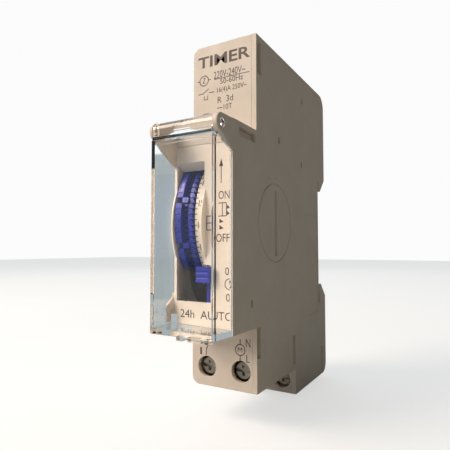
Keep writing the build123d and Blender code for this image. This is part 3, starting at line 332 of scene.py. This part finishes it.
# The dial's scale. FRONT_HOUR is the number nearest the front, a little above it. A box
# gives left, bottom, right and top in mm, across the dial and along its rim.
DIAL_CENTRE = Vector((0.0, -33.2 * MM, 2.82 * MM))
SCALE_RADIUS = 19.0 * MM
QUARTERS = 96
QUARTER_DEG = 3.75
HOURS = 24
HOUR_DEG = 15
FRONT_HOUR = 15
FRONT_HOUR_DEG = 11.25
TICK = ((-2.3, 0.0), (-1.75, 0.0))
NUMBER_BOX = (-1.55, -0.75, -0.4, 0.75)


def slabs(outlines):
    """Vertices and faces of flat outlines, raised from height 0 to 1."""
    verts = []
    faces = []
    for outline in outlines:
        start = len(verts)
        count = len(outline)
        verts += [(x, y, 0.0) for x, y in outline]
        verts += [(x, y, 1.0) for x, y in outline]
        faces.append([start + count + i for i in range(count)])
        faces.append([start + count - 1 - i for i in range(count)])
        for i in range(count):
            j = (i + 1) % count
            faces.append([start + i, start + j, start + count + j, start + count + i])
    return verts, faces


def stroke(points, width):
    """Outlines of the straight pieces of a line through the points."""
    quads = []
    for (x0, y0), (x1, y1) in zip(points, points[1:]):
        length = math.hypot(x1 - x0, y1 - y0)
        nx = -(y1 - y0) / length * width / 2
        ny = (x1 - x0) / length * width / 2
        left_side = [(x0 - nx, y0 - ny), (x1 - nx, y1 - ny)]
        right_side = [(x1 + nx, y1 + ny), (x0 + nx, y0 + ny)]
        quads.append(left_side + right_side)
    return quads


def circle(centre, radius):
    """Points round a circle, with the first one again at the end."""
    points = []
    for step in range(CIRCLE_STEPS + 1):
        angle = math.radians(360 * step / CIRCLE_STEPS)
        x = centre[0] + radius * math.cos(angle)
        y = centre[1] + radius * math.sin(angle)
        points.append((x, y))
    return points


def lettering(text, left, bottom, right, top, bold=0.0):
    """Vertices and faces of a text stretched into a box, from height 0 to 1."""
    curve = bpy.data.curves.new("lettering", "FONT")
    curve.body = text
    curve.resolution_u = LETTER_STEPS
    curve.offset = bold
    curve.extrude = HALF_HEIGHT
    carrier = bpy.data.objects.new("lettering", curve)
    bpy.context.scene.collection.objects.link(carrier)
    bpy.context.view_layer.update()
    shown = carrier.evaluated_get(bpy.context.evaluated_depsgraph_get())
    mesh = bpy.data.meshes.new_from_object(shown)
    xs = [vertex.co.x for vertex in mesh.vertices]
    ys = [vertex.co.y for vertex in mesh.vertices]
    scale_x = (right - left) / (max(xs) - min(xs))
    scale_y = (top - bottom) / (max(ys) - min(ys))
    verts = []
    for vertex in mesh.vertices:
        x = left + (vertex.co.x - min(xs)) * scale_x
        y = bottom + (vertex.co.y - min(ys)) * scale_y
        verts.append((x, y, vertex.co.z + HALF_HEIGHT))
    faces = [list(polygon.vertices) for polygon in mesh.polygons]
    bpy.data.objects.remove(carrier)
    bpy.data.curves.remove(curve)
    bpy.data.meshes.remove(mesh)
    return verts, faces


def on_front(y):
    """Places marks on a face that looks along -Y."""

    def place(x, z, height):
        depth = -MARK_SUNK + height * (MARK_SUNK + MARK_PROUD)
        return (x * MM, y - depth, z * MM)

    return place


def on_scale(degrees):
    """Places marks on the dial's scale at an angle above the front, wrapped round it."""

    def place(x, along, height):
        radius = SCALE_RADIUS - MARK_SUNK + height * (MARK_SUNK + MARK_PROUD)
        angle = math.radians(degrees) + along * MM / SCALE_RADIUS
        y = DIAL_CENTRE.y - radius * math.cos(angle)
        z = DIAL_CENTRE.z + radius * math.sin(angle)
        return (x * MM, y, z)

    return place


def print_piece(name, material, body, marks):
    """Gathers marks, each with the function that places it, into one piece on a body."""
    verts = []
    faces = []
    for (mark_verts, mark_faces), place in marks:
        start = len(verts)
        verts += [place(*vertex) for vertex in mark_verts]
        faces += [[start + index for index in face] for face in mark_faces]
    mesh = bpy.data.meshes.new(name)
    mesh.from_pydata(verts, [], faces)
    mesh.validate()
    mesh.update()
    made = bpy.data.objects.new(name, mesh)
    bpy.context.scene.collection.objects.link(made)
    made.data.materials.append(material)
    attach(made, body)


def face_marks(name, material, y, texts, outlines):
    """Prints texts and outlines on a front face of the housing."""
    place = on_front(y)
    marks = [(lettering(*text), place) for text in texts]
    marks.append((slabs(outlines), place))
    print_piece(name, material, "housing", marks)


def dial_marks():
    """A tick at each quarter hour and a number at each hour, round the dial's scale."""
    tick = slabs(stroke(TICK, LINE))
    marks = [(tick, on_scale(quarter * QUARTER_DEG)) for quarter in range(QUARTERS)]
    for step in range(HOURS):
        number = lettering(str((step + FRONT_HOUR) % HOURS), *NUMBER_BOX, BOLD)
        marks.append((number, on_scale(FRONT_HOUR_DEG - HOUR_DEG * step)))
    print_piece("marks_dial_scale", DARK_INK, "dial", marks)


# Upper front face: type word, ratings, motor and switch symbols
UPPER_TEXTS = [
    ("TIMER", -7.4, 41.3, 7.2, 44.1, BOLD),
    ("220V-240V~", -2.8, 37.95, 5.9, 39.75),
    ("50-60Hz", -1.0, 36.35, 5.3, 37.65),
    ("16(4)A 250V~", -1.9, 34.0, 6.3, 35.6),
    ("R  3d", -1.7, 31.75, 2.6, 33.3),
    ("10T", 0.0, 29.9, 2.3, 31.2),
]
UPPER_OUTLINES = [
    *stroke([(-2.7, 37.8), (7.0, 37.8)], FINE),
    *stroke([(-1.8, 30.5), (-0.4, 30.5)], LINE),
    *stroke(circle((-5.65, 38.05), 1.25), HEAVY),
    *stroke([(-7.6, 38.05), (-6.9, 38.05)], LINE),
    *stroke([(-4.4, 38.05), (-3.7, 38.05)], LINE),
    *stroke([(-5.95, 38.7), (-5.35, 38.7), (-5.95, 37.5), (-5.35, 37.5)], MEDIUM),
    *stroke([(-7.4, 34.8), (-6.0, 34.8), (-4.3, 35.8)], LINE),
    *stroke([(-4.2, 34.8), (-2.7, 34.8)], LINE),
    *stroke([(-5.6, 34.2), (-5.6, 33.2), (-4.6, 33.2), (-4.6, 34.2)], MEDIUM),
    *stroke([(-5.9, 29.6), (-4.2, 29.6)], FINE),
]

# Lower front face: terminal marks and the motor between N and L
LOWER_TEXTS = [
    ("1", -6.55, -29.05, -6.05, -27.35, BOLD),
    ("N", 5.9, -25.95, 7.05, -24.15),
    ("L", 6.0, -29.45, 6.9, -27.75),
    ("M", 3.85, -27.35, 4.95, -26.25),
]
LOWER_OUTLINES = [
    *stroke([(-3.94, -26.05), (-4.79, -27.65), (-4.85, -29.05)], HEAVY),
    *stroke(circle((4.42, -26.82), 1.24), HEAVY),
    *stroke([(4.42, -24.35), (4.42, -25.58)], HEAVY),
    *stroke([(4.42, -28.06), (4.42, -29.25)], HEAVY),
]

# Plate: arrow of the dial, on and off marks, tripper symbols and clock
PLATE_TEXTS = [
    ("ON", 2.85, 7.15, 5.7, 8.95),
    ("OFF", 2.2, -2.2, 5.7, -0.4),
    ("0", 4.6, -9.3, 5.6, -7.6),
    ("0", 4.8, -14.9, 5.8, -13.2),
    ("24h  AUTO", -6.3, -19.0, 6.5, -17.2),
]
PLATE_OUTLINES = [
    *stroke([(3.54, 10.7), (3.54, 15.0)], LINE),
    [(3.04, 14.4), (4.04, 14.4), (3.54, 16.1)],
    *stroke([(2.85, 6.3), (4.9, 6.3), (4.9, 3.45)], LINE),
    *stroke([(3.85, 6.3), (3.85, 3.45)], LINE),
    *stroke([(2.85, 3.45), (4.9, 3.45)], LINE),
    [(5.05, 5.9), (5.8, 5.2), (5.05, 4.9)],
    [(5.05, 4.6), (5.8, 3.9), (5.05, 3.6)],
    *stroke([(0.7, 3.5), (0.7, 0.45)], LINE),
    *stroke([(0.7, 3.5), (1.9, 3.5)], LINE),
    *stroke([(0.7, 1.98), (1.9, 1.98)], LINE),
    *stroke([(0.7, 0.45), (1.9, 0.45)], LINE),
    [(3.1, 2.9), (4.2, 2.2), (3.1, 1.9)],
    [(3.1, 1.5), (4.2, 0.8), (3.1, 0.5)],
    *stroke(circle((5.7, -11.2), 1.15), LINE),
    *stroke([(5.7, -10.5), (5.7, -11.2), (6.3, -11.2)], LINE),
]


# Studio -------------------------------------------------------------------------------

FLOOR_HALF = 1.5
FLOOR_Z = cad_low.z - 0.2 * MM
FLOOR_CLOUDS = 80 * MM
FLOOR_GLOSS = 40 * MM
FLOOR_ROUGH = (0.85, 0.95)
FLOOR_GLOW = 0.62

AIM = (0.0, -0.03, 0.0)
# Name, place, point it looks at, side in metres, power in watts and colour
LIGHTS = [
    ("key", (-0.36, -0.42, 0.44), AIM, 0.35, 4.2, (1.0, 0.83, 0.70)),
    ("back", (-0.3, 0.5, 0.4), AIM, 0.5, 0.6, (0.95, 0.97, 1.0)),
]

# Colours of the surroundings, and how far to each side the blend between them reaches
WORLD_SEEN = (0.97, 0.97, 0.97, 1.0)
WORLD_LEFT = (0.42, 0.48, 0.50, 1.0)
WORLD_RIGHT = (0.10, 0.10, 0.09, 1.0)
WORLD_RIGHT_SHINE = (0.24, 0.21, 0.19, 1.0)
WORLD_BLEND = 0.6

# Camera fitted to the photo's edges. Sensor and lens are in mm, as Blender counts them.
CAMERA_PLACE = Vector((51.33, -130.6, -3.68)) * MM
YAW = math.radians(30.11)
PITCH = math.radians(2.92)
SENSOR = 36.0
LENS = 33.9
SHIFT_X = -0.0059
SHIFT_Y = 0.0051
CLIP_START = 0.005
CLIP_END = 10.0


def floor():
    """A wide floor just under the part, left out of what the clear cover refracts."""
    mesh = bpy.data.meshes.new("floor")
    half = FLOOR_HALF
    corners = [(-half, -half), (half, -half), (half, half), (-half, half)]
    mesh.from_pydata([(x, y, FLOOR_Z) for x, y in corners], [], [(0, 1, 2, 3)])
    made = bpy.data.objects.new("floor", mesh)
    bpy.context.scene.collection.objects.link(made)
    made.data.materials.append(floor_finish())
    made.visible_transmission = False


def floor_finish():
    """Pale matt floor that looks evenly lit out to the horizon."""
    made = Finish("studio floor")
    made.mottle(made.noise(FLOOR_CLOUDS), (170, 170, 168), (174, 174, 172))
    made.roughness(made.noise(FLOOR_GLOSS), *FLOOR_ROUGH)
    made.shader.inputs["Emission Color"].default_value = (1.0, 1.0, 1.0, 1.0)
    path = made.add("ShaderNodeLightPath")
    glow = made.add("ShaderNodeMath", operation="MULTIPLY")
    glow.inputs[1].default_value = FLOOR_GLOW
    made.link(path.outputs["Is Camera Ray"], glow.inputs[0])
    made.link(glow.outputs["Value"], made.shader.inputs["Emission Strength"])
    return made.material


def area_light(name, place, aim, size, power, tint):
    """A square lamp that looks at a point."""
    data = bpy.data.lights.new(name, "AREA")
    data.size = size
    data.energy = power
    data.color = tint
    lamp = bpy.data.objects.new(name, data)
    lamp.location = place
    lamp.rotation_euler = (Vector(aim) - Vector(place)).to_track_quat("-Z", "Y").to_euler()
    bpy.context.scene.collection.objects.link(lamp)


def colour_mix(tree, factor):
    """A mix of the colours A and B, with A where the factor is 0."""
    node = tree.nodes.new("ShaderNodeMix")
    node.data_type = "RGBA"
    tree.links.new(factor, node.inputs["Factor"])
    return node


def surroundings():
    """White for the camera's own rays. Other rays find a pale wall on the left and a dim
    right side, which is warmer and brighter for mirrored and refracted rays."""
    world = bpy.data.worlds.new("studio")
    world.use_nodes = True
    bpy.context.scene.world = world
    tree = world.node_tree
    path = tree.nodes.new("ShaderNodeLightPath")
    coords = tree.nodes.new("ShaderNodeTexCoord")
    split = tree.nodes.new("ShaderNodeSeparateXYZ")
    tree.links.new(coords.outputs["Generated"], split.inputs["Vector"])
    ramp = tree.nodes.new("ShaderNodeMapRange")
    ramp.inputs["From Min"].default_value = -WORLD_BLEND
    ramp.inputs["From Max"].default_value = WORLD_BLEND
    ramp.interpolation_type = "SMOOTHSTEP"
    tree.links.new(split.outputs["X"], ramp.inputs["Value"])

    right = colour_mix(tree, path.outputs["Is Diffuse Ray"])
    right.inputs["A"].default_value = WORLD_RIGHT_SHINE
    right.inputs["B"].default_value = WORLD_RIGHT
    sides = colour_mix(tree, ramp.outputs["Result"])
    sides.inputs["A"].default_value = WORLD_LEFT
    tree.links.new(right.outputs["Result"], sides.inputs["B"])
    seen = colour_mix(tree, path.outputs["Is Camera Ray"])
    tree.links.new(sides.outputs["Result"], seen.inputs["A"])
    seen.inputs["B"].default_value = WORLD_SEEN
    tree.links.new(seen.outputs["Result"], tree.nodes["Background"].inputs["Color"])


def camera():
    """The photo's camera."""
    data = bpy.data.cameras.new("camera")
    data.sensor_width = SENSOR
    data.lens = LENS
    data.shift_x = SHIFT_X
    data.shift_y = SHIFT_Y
    data.clip_start = CLIP_START
    data.clip_end = CLIP_END
    made = bpy.data.objects.new("camera", data)
    made.location = CAMERA_PLACE
    level = math.cos(PITCH)
    ahead = Vector((-math.sin(YAW) * level, math.cos(YAW) * level, math.sin(PITCH)))
    made.rotation_mode = "QUATERNION"
    made.rotation_quaternion = ahead.to_track_quat("-Z", "Y")
    bpy.context.scene.collection.objects.link(made)
    bpy.context.scene.camera = made


dress_nodes()
for name, width in ROUNDED.items():
    round_edges(name, width * MM)
face_marks("marks_upper_face", INK, SHOULDER_Y, UPPER_TEXTS, UPPER_OUTLINES)
face_marks("marks_lower_face", INK, SHOULDER_Y, LOWER_TEXTS, LOWER_OUTLINES)
face_marks("marks_front_plate", DARK_INK, PLATE_Y, PLATE_TEXTS, PLATE_OUTLINES)
dial_marks()
floor()
surroundings()
for light in LIGHTS:
    area_light(*light)
camera()
bpy.context.scene.view_settings.view_transform = "Standard"
